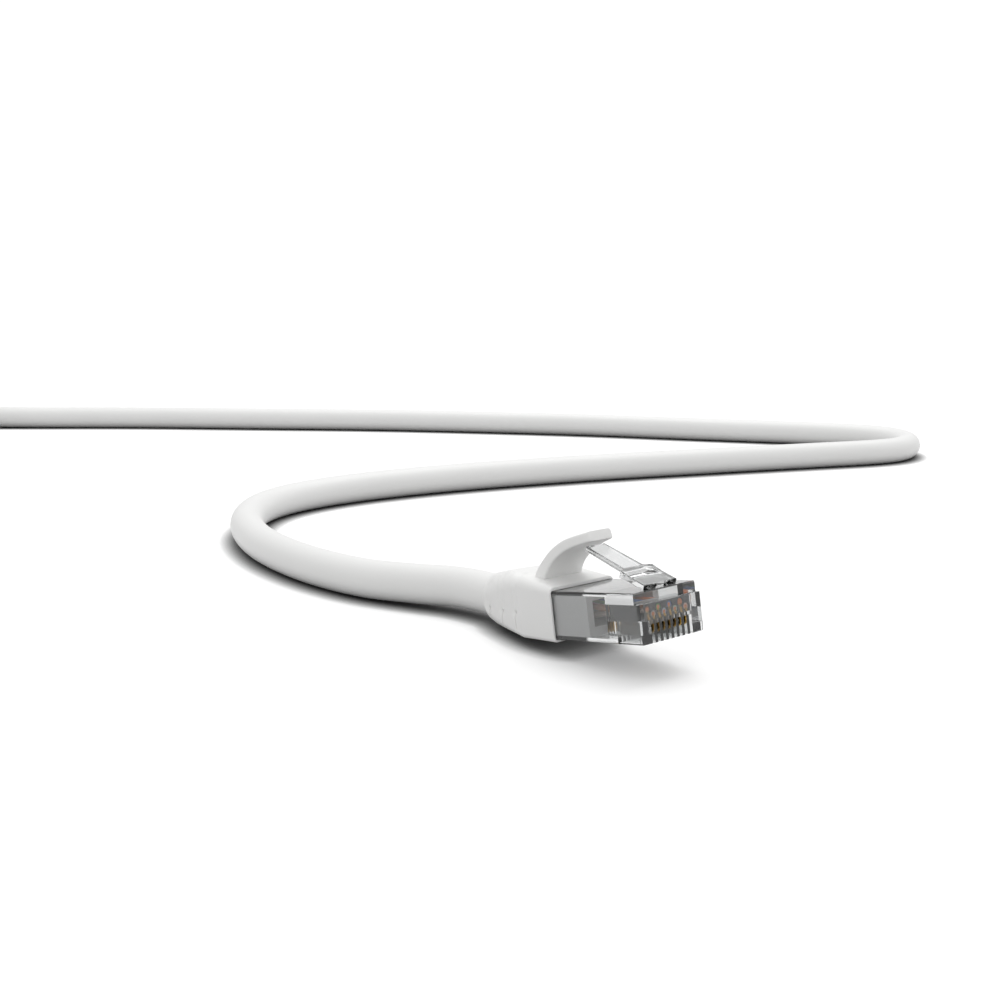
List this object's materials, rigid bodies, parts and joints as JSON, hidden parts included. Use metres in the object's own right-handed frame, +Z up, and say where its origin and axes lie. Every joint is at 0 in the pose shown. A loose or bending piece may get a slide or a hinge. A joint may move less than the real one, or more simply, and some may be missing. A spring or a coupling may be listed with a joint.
{
  "type": "ethernet patch cable",
  "caption": "Round white network patch cable with a clear modular plug, gold contacts, moulded boot and sprung latch with finger guard at each end, lying loose and tied in a small coil.",
  "frame": {"origin": "on the surface the cable lies on, below the middle of the near plug's box (plug, boot and latch)", "axes": "+Z up, +X the way the near plug's nose points seen from above, +Y to the plug's left; the latch is on top and the near plug lies 10 degrees nose-up on its boot"},
  "size_m": [0.3385, 0.3028, 0.017],
  "materials": {
    "clear_polycarbonate": "clear moulded",
    "clear_load_bar": "clear moulded",
    "gold_plated_contacts": "gold plated",
    "bare_copper": "drawn wire",
    "grey_nylon": "moulded",
    "white_polyethylene": "extruded",
    "white_pvc_jacket": "satin extruded",
    "white_pvc_boot": "satin moulded",
    "black_strap": "hook and loop",
    "insulation_white_orange": "extruded",
    "insulation_orange": "extruded",
    "insulation_white_green": "extruded",
    "insulation_blue": "extruded",
    "insulation_white_blue": "extruded",
    "insulation_green": "extruded",
    "insulation_white_brown": "extruded",
    "insulation_brown": "extruded"
  },
  "bodies": {
    "root": {"near_plug_housing": "clear_polycarbonate", "near_load_bar": "clear_load_bar", "near_contacts": "gold_plated_contacts", "near_copper_cores": "bare_copper", "near_wire_white_orange": "insulation_white_orange", "near_wire_orange": "insulation_orange", "near_wire_white_green": "insulation_white_green", "near_wire_blue": "insulation_blue", "near_wire_white_blue": "insulation_white_blue", "near_wire_green": "insulation_green", "near_wire_white_brown": "insulation_white_brown", "near_wire_brown": "insulation_brown", "near_inner_mould": "grey_nylon", "near_cross_filler": "white_polyethylene", "near_jacket_end": "white_pvc_jacket", "near_boot": "white_pvc_boot", "cord_jacket": "white_pvc_jacket", "cord_coil": "white_pvc_jacket", "coil_tie": "black_strap", "cord_tail": "white_pvc_jacket", "far_plug_housing": "clear_polycarbonate", "far_load_bar": "clear_load_bar", "far_contacts": "gold_plated_contacts", "far_copper_cores": "bare_copper", "far_wire_white_orange": "insulation_white_orange", "far_wire_orange": "insulation_orange", "far_wire_white_green": "insulation_white_green", "far_wire_blue": "insulation_blue", "far_wire_white_blue": "insulation_white_blue", "far_wire_green": "insulation_green", "far_wire_white_brown": "insulation_white_brown", "far_wire_brown": "insulation_brown", "far_inner_mould": "grey_nylon", "far_cross_filler": "white_polyethylene", "far_jacket_end": "white_pvc_jacket", "far_boot": "white_pvc_boot"},
    "near_guard": {"near_latch_guard": "white_pvc_boot"},
    "near_latch": {"near_latch_tab": "clear_polycarbonate"},
    "far_guard": {"far_latch_guard": "white_pvc_boot"},
    "far_latch": {"far_latch_tab": "clear_polycarbonate"}
  },
  "joints": [
    {"name": "near_guard_hinge", "type": "hinge", "parent": "root", "child": "near_guard", "pos_m": [-0.00463, 0, 0.01005], "axis": [0, 1, 0], "range_deg": [0, 22], "stiffness_Nm_per_rad": 0.0001, "springref_deg": -17.19},
    {"name": "near_latch_hinge", "type": "hinge", "parent": "root", "child": "near_latch", "pos_m": [0.01448, 0, 0.0122], "axis": [0, 1, 0], "range_deg": [-16, 0]},
    {"name": "far_guard_hinge", "type": "hinge", "parent": "root", "child": "far_guard", "pos_m": [-0.26034, -0.08679, 0.01005], "axis": [0.6428, 0.766, 0], "range_deg": [0, 22], "stiffness_Nm_per_rad": 0.0001, "springref_deg": -17.19},
    {"name": "far_latch_hinge", "type": "hinge", "parent": "root", "child": "far_latch", "pos_m": [-0.24569, -0.09908, 0.0122], "axis": [0.6428, 0.766, 0], "range_deg": [-16, 0]}
  ],
  "couplings": [
    {"joint": "near_latch_hinge", "follows": "near_guard_hinge", "ratio": -0.7268},
    {"joint": "far_latch_hinge", "follows": "far_guard_hinge", "ratio": -0.7268}
  ]
}
